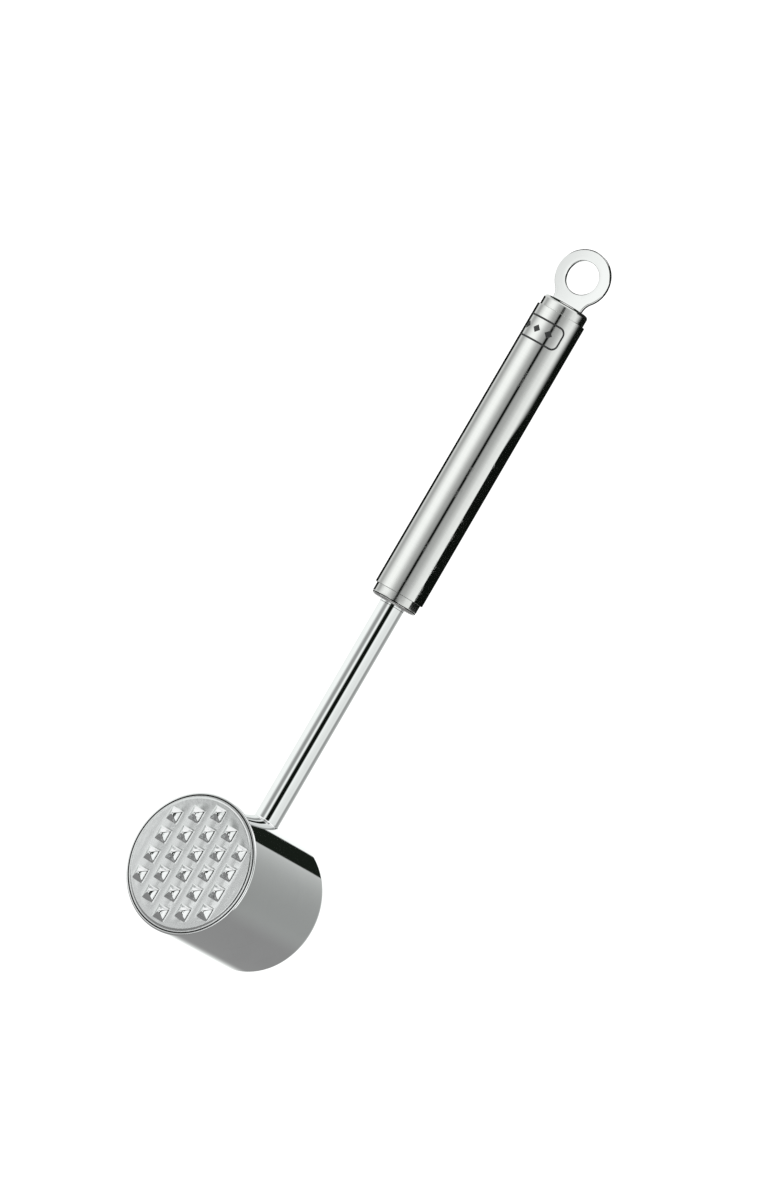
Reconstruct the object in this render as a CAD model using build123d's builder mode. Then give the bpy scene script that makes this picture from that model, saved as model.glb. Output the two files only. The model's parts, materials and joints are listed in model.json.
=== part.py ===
from build123d import *
from math import atan2, degrees, hypot
import os

# Meat mallet: a drum head with one toothed and one smooth face, a round stem, a tubular
# grip with an end cap at each end, and a flat hanging eye.
#
# Millimetres, +Z up the handle. The origin is the centre of the hanging hole. The axis of
# stem and grip is Z. The head's own axis runs along Y, with the toothed face towards -Y.

# ---------------------------------------------------------------- overall sizes
total_length = 300.0        # underside of the head to the top of the hanging eye
head_d = 55.0
head_length = 54.0          # front rim to smooth face, teeth not counted
stem_setback = 2.5          # stem axis behind the head's middle, towards the smooth face
stem_d = 10.0
sleeve_d = 20.0
sleeve_length = 120.0

# ---------------------------------------------------------------- head
shell_wall = 0.8            # drawn sheet of the cup
far_edge_r = 3.0            # outer rounding round the smooth face
lip_r = 0.6                 # rounding of the cup's mouth
face_t = 5.0                # toothed disc, at its rim
face_chamfer = 0.5          # makes the groove between disc and cup
seam_depth = 0.25           # seam ring below the rim
rim_band = 1.5              # flat band between the disc's edge and its raised plateau
field_rise = 0.4            # height of the plateau that carries the teeth
field_slope = 0.3           # width of the step up to the plateau
backing_t = 4.0             # disc behind the smooth face
backing_gap = 0.3           # backing plate to the cup's inner corner
core_d = 32.0
seat_depth = 18.0           # cross-drilled seat, from the core's skin
seat_gap = 1.0              # end of the spigot to the floor of its seat

# ---------------------------------------------------------------- teeth
tooth_pitch = 8.4           # along a column, and from column to column
tooth_base = 5.2
tooth_tip = 0.9             # width of the blunted point
tooth_h = 2.2
tooth_margin = 1.0          # least distance from a tooth to the edge of the plateau

# ---------------------------------------------------------------- stem
spigot_d = 8.0              # turned-down end that enters the head
stem_weld_r = 2.0           # fillet between stem and head
stem_inside = 5.0           # stem standing inside the grip, past the cap's end wall

# ---------------------------------------------------------------- grip
sleeve_wall = 0.8
cap_stand = 4.5             # cap showing beyond the sleeve
cap_plug = 8.0              # cap inside the sleeve
cap_end_t = 4.0             # end wall of a cap
cap_bore_gap = 1.6          # room round the stem for the weld inside the cap
cap_edge_r = 1.4
seam_w = 0.3                # chamfer inside the sleeve's ends, filled by the seam

# ---------------------------------------------------------------- hanging eye
eye_d = 22.0
eye_hole_d = 13.0
eye_t = 1.9
eye_edge_r = 0.45           # softened edges of the plate
neck_rise = 0.7             # top of the upper cap to the ring's lowest point
eye_turn = 11.0             # degrees about the handle, from square to the head's axis
neck_w = 13.0
neck_r = 6.0                # hollow between ring and neck
neck_foot = 0.15            # straight foot of the neck, below that hollow
tang_w = 9.0                # tongue through the cap's end wall
tang_play = 0.05            # tongue to the sides of its slot
tang_inside = 2.5           # tongue standing inside the cap
tang_weld = 1.5             # leg of its weld beads

# ---------------------------------------------------------------- worked out from the above
eye_r = eye_d / 2
eye_rise = eye_r + neck_rise
grip_top = -eye_rise
sleeve_top = grip_top - cap_stand
sleeve_bottom = sleeve_top - sleeve_length
grip_bottom = sleeve_bottom - cap_stand
cap_r = sleeve_d / 2 - sleeve_wall
cap_bore_r = stem_d / 2 + cap_bore_gap
cap_length = cap_stand + cap_plug

head_r = head_d / 2
head_z = eye_r - total_length + head_r
cup_r = head_r - shell_wall
rim_y = -head_length / 2 - stem_setback
far_y = rim_y + head_length
face_back_y = rim_y + face_t
floor_y = far_y - shell_wall
core_end_y = floor_y - backing_t
field_r = cup_r - rim_band
backing_r = cup_r - (far_edge_r - shell_wall) - backing_gap
spigot_z = head_z + core_d / 2 - seat_depth + seat_gap

# The hollow between ring and neck ends above the neck's foot.
hollow_drop = eye_rise - neck_foot
neck_hollow = min(neck_r, (hollow_drop**2 - eye_r**2 + neck_w**2 / 4) / (eye_d - neck_w))

# Planes across the head look towards -Y, so a plane at y is head_plane.offset(-y).
head_plane = Plane((0, 0, head_z), x_dir=(1, 0, 0), z_dir=(0, -1, 0))
head_axis = Axis((0, 0, head_z), (0, 1, 0))
eye_plane = Plane.XZ.rotated((0, 0, eye_turn))
eye_side = Plane.YZ.rotated((0, 0, eye_turn))

os.makedirs("parts", exist_ok=True)


def tooth_places():
    """Points of the staggered tooth pattern whose tooth stays on the plateau."""
    reach = field_r - tooth_base / 2 - tooth_margin
    steps = range(-int(reach // tooth_pitch) - 1, int(reach // tooth_pitch) + 2)
    places = []
    for column in steps:
        shift = 0.5 if column % 2 == 0 else 0.0
        for row in steps:
            place = (column * tooth_pitch, (row + shift) * tooth_pitch)
            if hypot(*place) <= reach:
                places.append(place)
    return places


# ---------------------------------------------------------------- head shell
# Drawn cup: side wall, rounded far edge and smooth face, with a side hole for the spigot.
with BuildPart() as head_shell:
    with BuildSketch(head_plane.offset(-far_y)):
        Circle(head_r)
    extrude(amount=head_length)
    fillet(head_shell.faces().sort_by(Axis.Y)[-1].edges(), far_edge_r)
    mouth = head_shell.faces().sort_by(Axis.Y)[0]
    offset(amount=-shell_wall, openings=mouth)
    lip = head_shell.edges().group_by(Axis.Y)[0].sort_by(SortBy.RADIUS)[-1]
    fillet(lip, lip_r)
    with BuildSketch(Plane.XY.offset(head_z)):
        Circle(spigot_d / 2)
    extrude(amount=head_r, mode=Mode.SUBTRACT)
head_shell.part.label = "head_shell"
export_step(head_shell.part, "parts/head_shell.step")


# ---------------------------------------------------------------- toothed face
# Coined disc in the cup's mouth: chamfered rim, raised plateau, blunt square pyramids.
with BuildPart() as toothed_face:
    with BuildSketch(head_plane.offset(-face_back_y)):
        Circle(cup_r)
    extrude(amount=face_t)
    chamfer(toothed_face.edges().group_by(Axis.Y)[0], face_chamfer)
    with BuildSketch(head_plane.offset(-rim_y)):
        Circle(field_r)
    extrude(amount=field_rise, taper=degrees(atan2(field_slope, field_rise)))
    with BuildSketch(head_plane.offset(-rim_y + field_rise)):
        with Locations(*tooth_places()):
            Rectangle(tooth_base, tooth_base)
    extrude(amount=tooth_h, taper=degrees(atan2((tooth_base - tooth_tip) / 2, tooth_h)))
toothed_face.part.label = "toothed_face"
export_step(toothed_face.part, "parts/toothed_face.step")


# ---------------------------------------------------------------- face seam
# Weld ring at the bottom of the groove between disc and cup.
with BuildPart() as face_seam_weld:
    with BuildSketch(Plane.YZ):
        with BuildLine():
            Polyline(
                (rim_y + face_chamfer, head_z + cup_r),
                (rim_y + seam_depth, head_z + cup_r),
                (rim_y + seam_depth, head_z + cup_r - face_chamfer + seam_depth),
                close=True,
            )
        make_face()
    revolve(axis=head_axis)
face_seam_weld.part.label = "face_seam_weld"
export_step(face_seam_weld.part, "parts/face_seam_weld.step")


# ---------------------------------------------------------------- inside the head
# Backing plate on the floor of the cup, behind the smooth face.
with BuildPart() as backing_plate:
    with BuildSketch(head_plane.offset(-floor_y)):
        Circle(backing_r)
    extrude(amount=backing_t)
backing_plate.part.label = "backing_plate"
export_step(backing_plate.part, "parts/backing_plate.step")

# Solid core between the toothed disc and the backing plate, cross-drilled for the stem.
with BuildPart() as head_core:
    with BuildSketch(head_plane.offset(-core_end_y)):
        Circle(core_d / 2)
    extrude(amount=core_end_y - face_back_y)
    with BuildSketch(Plane.XY.offset(spigot_z - seat_gap)):
        Circle(spigot_d / 2)
    extrude(amount=core_d, mode=Mode.SUBTRACT)
head_core.part.label = "head_core"
export_step(head_core.part, "parts/head_core.step")


# ---------------------------------------------------------------- stem
# Rod coped onto the head, with a spigot into the core and its top end inside the grip.
with BuildPart() as stem:
    with BuildSketch(Plane.XY.offset(head_z)):
        Circle(stem_d / 2)
    extrude(amount=grip_bottom + cap_end_t + stem_inside - head_z)
    with BuildSketch(head_plane.offset(-far_y)):
        Circle(head_r)
    extrude(amount=head_length, mode=Mode.SUBTRACT)
    with BuildSketch(Plane.XY.offset(spigot_z)):
        Circle(spigot_d / 2)
    extrude(amount=head_z + head_r + spigot_d / 2 - spigot_z)
stem.part.label = "stem"
export_step(stem.part, "parts/stem.step")

# Polished weld fillet round the foot of the stem: what a fillet adds to head and rod.
with BuildPart() as stem_weld:
    with BuildSketch(head_plane.offset(-far_y)):
        Circle(head_r)
    extrude(amount=head_length)
    with BuildSketch(Plane.XY.offset(head_z)):
        Circle(stem_d / 2)
    extrude(amount=head_r + stem_d)
    foot = stem_weld.edges().filter_by_position(Axis.Z, head_z + head_r - 2, head_z + head_r)
    fillet(foot, stem_weld_r)
    with BuildSketch(head_plane.offset(-far_y)):
        Circle(head_r)
    extrude(amount=head_length, mode=Mode.SUBTRACT)
    with BuildSketch(Plane.XY.offset(head_z)):
        Circle(stem_d / 2)
    extrude(amount=head_r + stem_d, mode=Mode.SUBTRACT)
stem_weld.part.label = "stem_weld"
export_step(stem_weld.part, "parts/stem_weld.step")


# ---------------------------------------------------------------- grip
# Lower cap: turned cup that plugs the sleeve, bored for the stem.
with BuildPart() as lower_cap:
    with BuildSketch(Plane.XY.offset(grip_bottom)):
        Circle(cap_r)
    extrude(amount=cap_length)
    fillet(lower_cap.faces().sort_by(Axis.Z)[0].edges(), cap_edge_r)
    with BuildSketch(Plane.XY.offset(grip_bottom + cap_end_t)):
        Circle(cap_bore_r)
    extrude(amount=cap_length - cap_end_t, mode=Mode.SUBTRACT)
    with BuildSketch(Plane.XY.offset(grip_bottom)):
        Circle(stem_d / 2)
    extrude(amount=cap_end_t, mode=Mode.SUBTRACT)
lower_cap.part.label = "lower_cap"
export_step(lower_cap.part, "parts/lower_cap.step")

# Weld inside the lower cap, round the stem.
with BuildPart() as stem_inner_weld:
    with BuildSketch(Plane.XZ):
        with BuildLine():
            Polyline(
                (stem_d / 2, grip_bottom + cap_end_t),
                (cap_bore_r, grip_bottom + cap_end_t),
                (stem_d / 2, grip_bottom + cap_end_t + cap_bore_gap),
                close=True,
            )
        make_face()
    revolve(axis=Axis.Z)
stem_inner_weld.part.label = "stem_inner_weld"
export_step(stem_inner_weld.part, "parts/stem_inner_weld.step")

# Sleeve: the tube that is held, chamfered inside at both ends.
with BuildPart() as handle_sleeve:
    with BuildSketch(Plane.XY.offset(sleeve_bottom)):
        Circle(sleeve_d / 2)
        Circle(cap_r, mode=Mode.SUBTRACT)
    extrude(amount=sleeve_length)
    bore_ends = handle_sleeve.edges().filter_by(GeomType.CIRCLE).group_by(SortBy.RADIUS)[0]
    chamfer(bore_ends, seam_w)
handle_sleeve.part.label = "handle_sleeve"
export_step(handle_sleeve.part, "parts/handle_sleeve.step")

# Seam rings that fill those chamfers, flush with the sleeve's ends.
with BuildPart() as lower_seam_weld:
    with BuildSketch(Plane.XZ):
        with BuildLine():
            Polyline(
                (cap_r, sleeve_bottom),
                (cap_r + seam_w, sleeve_bottom),
                (cap_r, sleeve_bottom + seam_w),
                close=True,
            )
        make_face()
    revolve(axis=Axis.Z)
lower_seam_weld.part.label = "lower_seam_weld"
export_step(lower_seam_weld.part, "parts/lower_seam_weld.step")

with BuildPart() as upper_seam_weld:
    with BuildSketch(Plane.XZ):
        with BuildLine():
            Polyline(
                (cap_r, sleeve_top),
                (cap_r + seam_w, sleeve_top),
                (cap_r, sleeve_top - seam_w),
                close=True,
            )
        make_face()
    revolve(axis=Axis.Z)
upper_seam_weld.part.label = "upper_seam_weld"
export_step(upper_seam_weld.part, "parts/upper_seam_weld.step")

# Upper cap: the same turned cup, slotted for the eye's tongue.
with BuildPart() as upper_cap:
    with BuildSketch(Plane.XY.offset(grip_top - cap_length)):
        Circle(cap_r)
    extrude(amount=cap_length)
    fillet(upper_cap.faces().sort_by(Axis.Z)[-1].edges(), cap_edge_r)
    with BuildSketch(Plane.XY.offset(grip_top - cap_length)):
        Circle(cap_bore_r)
    extrude(amount=cap_length - cap_end_t, mode=Mode.SUBTRACT)
    with BuildSketch(Plane.XY.offset(grip_top)):
        Rectangle(tang_w + 2 * tang_play, eye_t + 2 * tang_play, rotation=eye_turn)
    extrude(amount=-cap_end_t, mode=Mode.SUBTRACT)
upper_cap.part.label = "upper_cap"
export_step(upper_cap.part, "parts/upper_cap.step")


# ---------------------------------------------------------------- hanging eye
# Flat ring on a hollow-sided neck, and the tongue below it that goes through the cap.
with BuildPart() as hanging_eye:
    with BuildSketch(eye_plane) as eye_outline:
        Circle(eye_r)
        Rectangle(neck_w, eye_rise, align=(Align.CENTER, Align.MAX))
        neck_corners = eye_outline.vertices().group_by(Axis.Y)[1]
        fillet(neck_corners, neck_hollow)
        Circle(eye_hole_d / 2, mode=Mode.SUBTRACT)
    extrude(amount=eye_t / 2, both=True)
    soft = hanging_eye.edges().filter_by(eye_plane).filter_by_position(
        Axis.Z, grip_top, eye_r, inclusive=(False, True)
    )
    fillet(soft, eye_edge_r)
    with BuildSketch(eye_plane):
        with Locations((0, grip_top)):
            Rectangle(tang_w, cap_end_t + tang_inside, align=(Align.CENTER, Align.MAX))
    extrude(amount=eye_t / 2, both=True)
hanging_eye.part.label = "hanging_eye"
export_step(hanging_eye.part, "parts/hanging_eye.step")

# The two beads that hold the tongue, under the cap's end wall.
with BuildPart() as eye_tang_welds:
    with BuildSketch(eye_side):
        with BuildLine():
            Polyline(
                (eye_t / 2, grip_top - cap_end_t),
                (eye_t / 2 + tang_weld, grip_top - cap_end_t),
                (eye_t / 2, grip_top - cap_end_t - tang_weld),
                close=True,
            )
        make_face()
        mirror(about=Plane.YZ)
    extrude(amount=tang_w / 2, both=True)
eye_tang_welds.part.label = "eye_tang_welds"
export_step(eye_tang_welds.part, "parts/eye_tang_welds.step")
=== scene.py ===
import json
from functools import partialmethod
from math import atan2, cos, pi, radians, sin, sqrt, tau

import bmesh
import bpy
from bpy.props import FloatProperty, FloatVectorProperty, IntProperty, PointerProperty
from bpy.types import NodeSocket, Operator, Panel, PropertyGroup
from mathutils import Matrix, Vector


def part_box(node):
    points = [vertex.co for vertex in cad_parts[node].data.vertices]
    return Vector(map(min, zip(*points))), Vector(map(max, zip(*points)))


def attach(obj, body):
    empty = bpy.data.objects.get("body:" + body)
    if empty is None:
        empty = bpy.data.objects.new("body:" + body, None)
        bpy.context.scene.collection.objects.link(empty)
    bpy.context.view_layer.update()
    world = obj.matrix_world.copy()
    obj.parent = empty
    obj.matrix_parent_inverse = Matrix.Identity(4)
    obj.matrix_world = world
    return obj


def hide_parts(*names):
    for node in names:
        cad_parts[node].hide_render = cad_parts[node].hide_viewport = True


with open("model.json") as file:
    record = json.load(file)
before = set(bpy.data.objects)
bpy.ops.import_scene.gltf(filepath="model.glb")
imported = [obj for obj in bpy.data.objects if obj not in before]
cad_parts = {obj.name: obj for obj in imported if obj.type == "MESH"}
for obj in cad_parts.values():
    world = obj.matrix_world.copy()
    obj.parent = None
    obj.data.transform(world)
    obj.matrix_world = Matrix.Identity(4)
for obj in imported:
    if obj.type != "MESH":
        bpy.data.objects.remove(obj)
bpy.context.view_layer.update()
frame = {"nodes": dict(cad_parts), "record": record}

bl_info = {
    "name": "Meat Mallet",
    "version": (1, 0, 0),
    "blender": (4, 5, 0),
    "location": "3D View > Sidebar > Mallet",
    "description": "Builds an all-steel meat mallet piece by piece round its packed frame",
    "category": "Add Mesh",
}

# The mallet stands on Z, grip up, with the hanging hole at the origin. The head lies along
# Y with its toothed face towards -Y. Metres throughout.
MM = 0.001


def middle(node):
    low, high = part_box(node)
    return (low + high) / 2


def reach(node, axis):
    """Half the width of a node along one axis."""
    low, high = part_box(node)
    return (high[axis] - low[axis]) / 2


SHELL_LOW, SHELL_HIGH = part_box("head_shell")
FACE_LOW, FACE_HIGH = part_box("toothed_face")
STEM_LOW, STEM_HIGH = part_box("stem")
SLEEVE_LOW, SLEEVE_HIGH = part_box("handle_sleeve")
UPPER_LOW, UPPER_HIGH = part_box("upper_cap")
LOWER_LOW, LOWER_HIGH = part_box("lower_cap")
EYE_LOW, EYE_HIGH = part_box("hanging_eye")
HEAD_Z = middle("head_shell").z
STEEL = {m["slot"]: (*m["base_color"], 1.0) for m in frame["record"]["materials"]}
MIRROR_ROUGHNESS = 0.03


# ------------------------------------------------------------------ settings
def length(name, description, default):
    return FloatProperty(name=name, description=description, default=default, min=0.0,
                         precision=5, unit="LENGTH", subtype="DISTANCE")


def finish_colour(slot, name):
    return FloatVectorProperty(name=name, description=f"Colour of the {name.lower()}",
                               default=STEEL[slot], size=4, min=0.0, max=1.0, subtype="COLOR")


class MalletHead(PropertyGroup):
    radius: length("Head Radius", "Outside radius of the drum", reach("head_shell", 0))
    wall: length("Wall", "Thickness of the drawn cup", 0.8 * MM)
    far_round: length("Far Rounding", "Rounding round the smooth face", 3.0 * MM)
    lip_round: length("Lip Rounding", "Rounding of the cup's mouth", 0.6 * MM)
    disc_chamfer: length("Disc Chamfer", "Chamfer that makes the seam's groove", 0.5 * MM)
    plateau: length("Plateau", "Radius of the raised ground that carries the teeth", 24.9 * MM)
    plateau_rise: length("Plateau Rise", "Height of that ground above the rim", 0.4 * MM)
    plateau_step: length("Plateau Step", "Width of the soft step round it", 0.9 * MM)
    weld_round: length("Stem Weld", "Radius of the polished weld round the stem", 1.0 * MM)


class MalletTeeth(PropertyGroup):
    pitch: length("Pitch", "Distance between teeth, along a column and across", 8.4 * MM)
    base: length("Base", "Width of a tooth at its foot", 5.2 * MM)
    tip: length("Tip", "Width of the blunted point", 0.9 * MM)
    height: length("Height", "Height of a tooth above the ground", 2.2 * MM)
    reach: length("Reach", "Farthest a tooth's centre lies from the middle", 21.7 * MM)
    edge_round: length("Edge Softness", "Softness of a tooth's four ridges", 0.38 * MM)
    foot_round: length("Foot Softness", "Softness of the hollow round a tooth's foot", 0.6 * MM)
    swell: length("Swell", "Rise of the ground along each column", 0.28 * MM)
    cell: length("Cell", "Spacing of the pressed surface's points", 0.21 * MM)


class MalletGrip(PropertyGroup):
    wall: length("Wall", "Thickness of the sleeve and its caps' skirts", 0.8 * MM)
    end_round: length("Sleeve Edge", "Rounding of the sleeve's ends", 0.12 * MM)
    seam: length("Seam", "Width of the seam rings", 0.3 * MM)
    cap_round: length("Cap Rounding", "Rounding of a cap's shoulder", 1.4 * MM)
    cap_end: length("Cap End", "Thickness of a cap's end wall", 4.0 * MM)
    stem_radius: length("Stem Radius", "Radius of the stem", reach("stem", 0))
    spigot_radius: length("Spigot Radius", "Radius of the stem's turned-down end", 4.0 * MM)


class MalletEye(PropertyGroup):
    hole: length("Hole Radius", "Radius of the hanging hole", 6.5 * MM)
    thickness: length("Thickness", "Thickness of the plate", 1.9 * MM)
    edge_round: length("Edge Rounding", "Softening of the plate's edges", 0.45 * MM)
    neck: length("Neck Width", "Width of the neck where it meets the cap", 13.0 * MM)
    hollow: length("Neck Hollow", "Radius of the hollow between ring and neck", 6.0 * MM)
    tongue: length("Tongue Width", "Width of the tongue inside the cap", 9.0 * MM)
    turn: FloatProperty(name="Turn", description="Angle of the plate about the handle",
                        default=radians(11.0), subtype="ANGLE", unit="ROTATION")


class MalletMark(PropertyGroup):
    width: length("Width", "Length of the etched frame round the grip", 21.0 * MM)
    height: length("Height", "Height of the etched frame along the grip", 8.8 * MM)
    corner: length("Corner", "Corner radius of the frame", 2.4 * MM)
    line: length("Line", "Width of the frame's line", 0.72 * MM)
    relief: length("Relief", "Thickness of the dark layer", 0.03 * MM)
    drop: length("Drop", "Distance of its middle below the sleeve's end", 9.0 * MM)
    count: IntProperty(name="Diamonds", description="Diamonds in the frame", default=3, min=1)
    facing: FloatProperty(name="Facing", description="Direction it looks to, about the handle",
                          default=radians(-90.0), subtype="ANGLE", unit="ROTATION")


class MalletFinish(PropertyGroup):
    mirror: finish_colour("mirror_steel", "Mirror Steel")
    polished: finish_colour("polished_steel", "Polished Steel")
    coined: finish_colour("coined_steel", "Coined Steel")
    brushed: finish_colour("brushed_steel", "Brushed Steel")
    turned: finish_colour("turned_steel", "Turned Steel")
    weld: finish_colour("weld_steel", "Weld Steel")
    raw: finish_colour("raw_steel", "Raw Steel")


class MalletStage(PropertyGroup):
    camera_turn: FloatProperty(name="Camera Turn", description="Camera's angle about the handle",
                               default=radians(33.6), subtype="ANGLE", unit="ROTATION")
    camera_rise: FloatProperty(name="Camera Rise", description="Camera's angle above level",
                               default=radians(-0.9), subtype="ANGLE", unit="ROTATION")
    camera_roll: FloatProperty(name="Camera Roll", description="Lean of the handle in the picture",
                               default=radians(30.25), subtype="ANGLE", unit="ROTATION")
    camera_far: length("Camera Distance", "From the camera to the handle", 4.0)
    view_height: length("View Height", "What the picture's long side covers", 0.445)
    aim_height: FloatProperty(name="Aim Height", description="Height that the camera aims at",
                              default=-0.1391, precision=5, unit="LENGTH", subtype="DISTANCE")
    aim_left: length("Aim Left", "How far left of the handle the camera aims", 2.1 * MM)
    floor: length("Floor Drop", "Floor below the lowest point of the head", 0.08)
    screen_radius: length("Screen Radius", "Radius of the reflecting screen round the grip", 0.045)


GROUPS = {
    "mallet_head": MalletHead, "mallet_teeth": MalletTeeth, "mallet_grip": MalletGrip,
    "mallet_eye": MalletEye, "mallet_mark": MalletMark, "mallet_finish": MalletFinish,
    "mallet_stage": MalletStage,
}


# ------------------------------------------------------------------ node helpers
def fill(node, inputs):
    """Connects or sets a node's inputs and returns the node."""
    for key, value in inputs.items():
        value = getattr(value, "socket", value)
        if isinstance(value, NodeSocket):
            node.id_data.links.new(value, node.inputs[key])
        else:
            node.inputs[key].default_value = value
    return node


def put(tree, kind, inputs=None, **settings):
    """Adds a node, sets it up and fills its inputs."""
    node = tree.nodes.new(kind)
    for key, value in settings.items():
        setattr(node, key, value)
    return fill(node, inputs or {})


class Value:
    """A number in a node tree: reckoning with it adds Math nodes to that tree."""

    def __init__(self, socket):
        self.socket = socket

    def math(self, operation, *others, swap=False, clamp=False):
        values = (*others, self) if swap else (self, *others)
        node = put(self.socket.id_data, "ShaderNodeMath", dict(enumerate(values)),
                   operation=operation, use_clamp=clamp)
        return Value(node.outputs[0])

    def smooth(self, low, high, to_low=0.0, to_high=1.0):
        """Soft step of the value from one range to another."""
        node = put(self.socket.id_data, "ShaderNodeMapRange",
                   {"Value": self, "From Min": low, "From Max": high,
                    "To Min": to_low, "To Max": to_high}, interpolation_type="SMOOTHSTEP")
        return Value(node.outputs["Result"])

    __add__ = partialmethod(math, "ADD")
    __radd__ = partialmethod(math, "ADD", swap=True)
    __sub__ = partialmethod(math, "SUBTRACT")
    __rsub__ = partialmethod(math, "SUBTRACT", swap=True)
    __mul__ = partialmethod(math, "MULTIPLY")
    __truediv__ = partialmethod(math, "DIVIDE")


SOCKETS = {int: "NodeSocketInt", float: "NodeSocketFloat", type(None): "NodeSocketVector",
           bpy.types.Material: "NodeSocketMaterial"}


def new_group(name, kind, inputs, outputs, output_kind):
    """A node group. Its inputs are labels with defaults, None for a vector's. Returns the
    group, its inputs' values by label, and its end node."""
    tree = bpy.data.node_groups.new(name, kind)
    for label, value in inputs.items():
        made = tree.interface.new_socket(label, in_out="INPUT",
                                         socket_type=SOCKETS[type(value)])
        if value is not None:
            made.default_value = value
    for label in outputs:
        tree.interface.new_socket(label, in_out="OUTPUT", socket_type=output_kind)
    start, end = tree.nodes.new("NodeGroupInput"), tree.nodes.new("NodeGroupOutput")
    return tree, {s.name: Value(s) for s in start.outputs if s.name}, end


def noise(tree, where, scale, detail, **more):
    node = put(tree, "ShaderNodeTexNoise",
               {"Vector": where, "Scale": scale, "Detail": detail, **more})
    return Value(node.outputs["Fac"])


def mixed(tree, share, one, two):
    """Colour one where the share is 0, colour two where it is 1."""
    node = put(tree, "ShaderNodeMix", {"Factor": share, "A": one, "B": two}, data_type="RGBA")
    return node.outputs["Result"]


def split(tree, place):
    """The three coordinates of a place."""
    return [Value(s) for s in put(tree, "ShaderNodeSeparateXYZ", {0: place}).outputs]


def combined(tree, x=0.0, y=0.0, z=0.0):
    return put(tree, "ShaderNodeCombineXYZ", {"X": x, "Y": y, "Z": z}).outputs[0]


# ------------------------------------------------------------------ shared shader groups
def shared_group(name, inputs, *outputs):
    """Decorator: makes a shader group when it is first asked for, then hands it out again."""
    def wrap(make):
        def fetch():
            if name not in bpy.data.node_groups:
                tree, given, end = new_group(name, "ShaderNodeTree", inputs, outputs,
                                             "NodeSocketFloat")
                fill(end, dict(zip(outputs, make(tree, given))))
            return bpy.data.node_groups[name]
        return fetch
    return wrap


@shared_group("Turning Lines",
              {"Vector": None, "Lines per Metre": 5000.0, "Run per Metre": 60.0},
              "Height", "Tone")
def turning_lines(tree, given):
    """Fine grooves round Z, as a lathe or belt leaves them. Puts out height and tone."""
    run = given["Run per Metre"]
    scale = combined(tree, run, run, given["Lines per Metre"])
    place = put(tree, "ShaderNodeVectorMath", {0: given["Vector"], 1: scale},
                operation="MULTIPLY").outputs[0]
    fine, broad = 1.0, 0.17
    return (noise(tree, place, fine, 3.0, Roughness=0.65),
            noise(tree, place, broad, 2.0, Roughness=0.5))


@shared_group("Handling Marks",
              {"Vector": None, "Smudge Scale": 70.0, "Scratch Scale": 260.0},
              "Smudge", "Scratch")
def handling_marks(tree, given):
    """Faint smudges and hairline scratches of a tool in use. Puts out two masks."""
    where = given["Vector"]
    smudge = noise(tree, where, given["Smudge Scale"], 4.0, Roughness=0.6, Distortion=0.4)
    hairs = []
    for turn, seed in (((0.5, 0.2, 0.9), 0.0), ((1.3, 0.7, 2.2), 3.7)):
        turned = put(tree, "ShaderNodeMapping",
                     {"Vector": where, "Location": (seed, 0.0, seed), "Rotation": turn,
                      "Scale": (1.0, 14.0, 1.0)}).outputs[0]
        hair = noise(tree, turned, given["Scratch Scale"], 2.0, Roughness=0.5)
        hairs.append((hair - 0.5).math("ABSOLUTE").smooth(0.012, 0.0))
    patch = noise(tree, where, 190.0, 1.0).smooth(0.52, 0.66)
    return smudge.smooth(0.42, 0.72), hairs[0].math("MAXIMUM", hairs[1]) * patch


@shared_group("Weld Ripples", {"Vector": None, "Ripples per Metre": 1800.0},
              "Height", "Tint")
def weld_ripples(tree, given):
    """Overlapping ripples of a laser weld. Puts out their height and a heat tint mask."""
    cells = put(tree, "ShaderNodeTexVoronoi",
                {"Vector": given["Vector"], "Scale": given["Ripples per Metre"],
                 "Smoothness": 0.4}, feature="SMOOTH_F1")
    heat = noise(tree, given["Vector"], 420.0, 2.0)
    return cells.outputs["Distance"], heat.smooth(0.35, 0.7)


# ------------------------------------------------------------------ materials
def made_once(make):
    """Decorator: a material is made when its name is new, and handed out again later."""
    def fetch(name, *rest, **more):
        known = bpy.data.materials.get(name)
        return known or make(name, *rest, **more)
    return fetch


def blank_material(name, metallic=1.0, **values):
    """A material with one Principled shader; returns it with tree, shader and coordinates."""
    material, tree, output = bare_material(name)
    shader = put(tree, "ShaderNodeBsdfPrincipled", {"Metallic": metallic, **values})
    fill(output, {"Surface": shader.outputs[0]})
    where = tree.nodes.new("ShaderNodeTexCoord")
    return material, tree, shader, where.outputs["Object"]


def bare_material(name):
    material = bpy.data.materials.new(name)
    material.use_nodes = True
    tree = material.node_tree
    tree.nodes.clear()
    return material, tree, tree.nodes.new("ShaderNodeOutputMaterial")


def marked(tree, group, where, **scales):
    """The outputs of a shared group at a place."""
    scales = {key.replace("_", " "): value for key, value in scales.items()}
    node = put(tree, "ShaderNodeGroup", {"Vector": where, **scales}, node_tree=group)
    return [Value(s) for s in node.outputs]


def toned(tree, colour, mask, dark):
    """The colour, darkened by a mask: dark is the factor where the mask is 1."""
    shade = [c * dark for c in colour[:3]] + [1.0]
    return mixed(tree, mask, [*colour[:3], 1.0], shade)


def bumped(tree, shader, height, distance, strength=1.0, below=None):
    """Bumps a shader, on top of an earlier bump if one is given."""
    under = {} if below is None else {"Normal": below}
    bump = put(tree, "ShaderNodeBump",
               {"Height": height, "Distance": distance, "Strength": strength, **under})
    fill(shader, {"Normal": bump.outputs[0]})
    return bump.outputs[0]


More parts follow.
